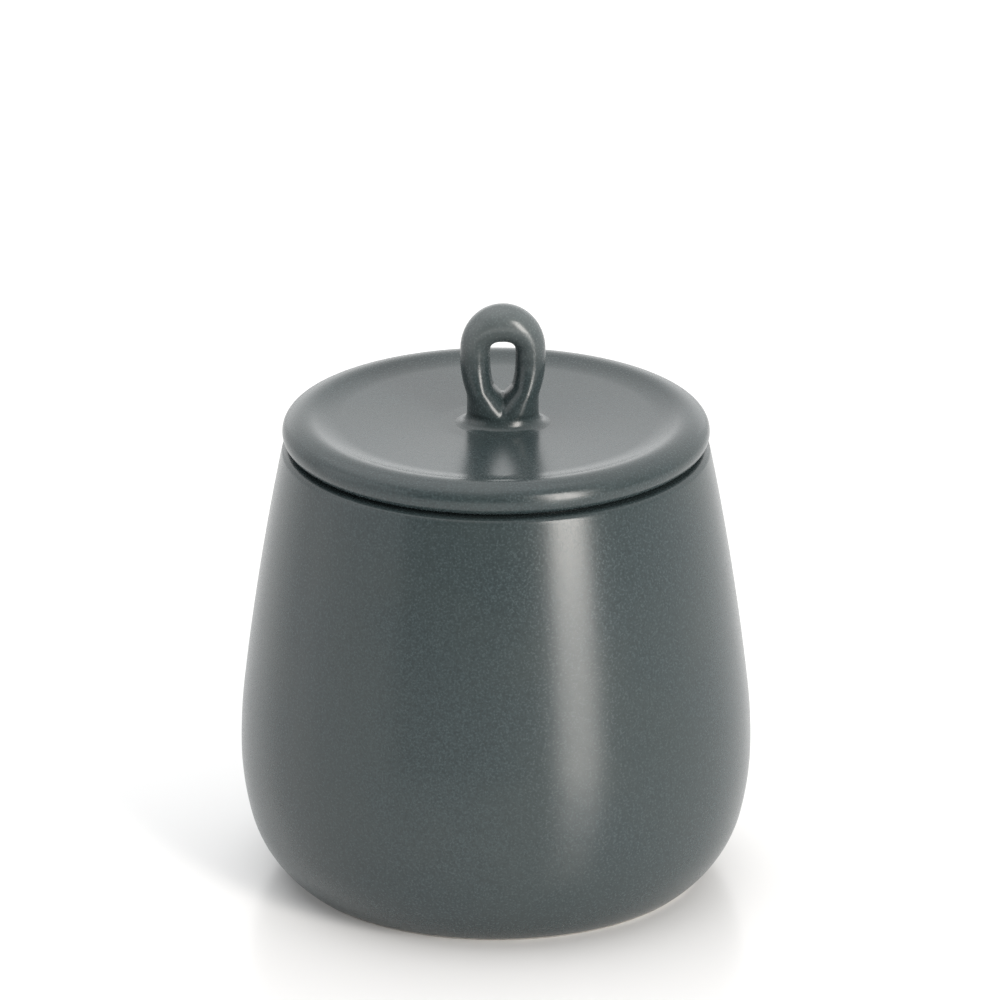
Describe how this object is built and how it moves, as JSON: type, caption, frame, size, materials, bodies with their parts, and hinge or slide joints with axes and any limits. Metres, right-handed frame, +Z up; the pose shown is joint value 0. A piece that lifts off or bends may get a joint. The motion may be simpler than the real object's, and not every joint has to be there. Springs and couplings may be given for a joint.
{
  "type": "spice jar",
  "caption": "Round stoneware jar with a rounded heel and a gently tapering wall, closed by a loose dished lid that lifts off by a bent clay loop.",
  "frame": {"origin": "on the table, under the middle of the jar's foot", "axes": "+Z up along the jar's axis; -Y is the front, because the hole in the loop runs along Y; +X to the right"},
  "size_m": [0.0906, 0.0906, 0.1056],
  "materials": {
    "jar_glaze": "satin dark grey-green glaze with a fine pale speckle, bare pale clay at the very foot",
    "lid_glaze": "satin dark grey-green glaze with a fine pale speckle, bare pale clay under the lid where it touches the jar"
  },
  "bodies": {
    "jar": {"jar_body": "jar_glaze"},
    "lid": {"lid": "lid_glaze", "loop_handle": "lid_glaze"}
  },
  "joints": [
    {"name": "lid_lift", "type": "slide", "parent": "jar", "child": "lid", "axis": [0, 0, 1], "range_m": [0, 0.1]}
  ]
}
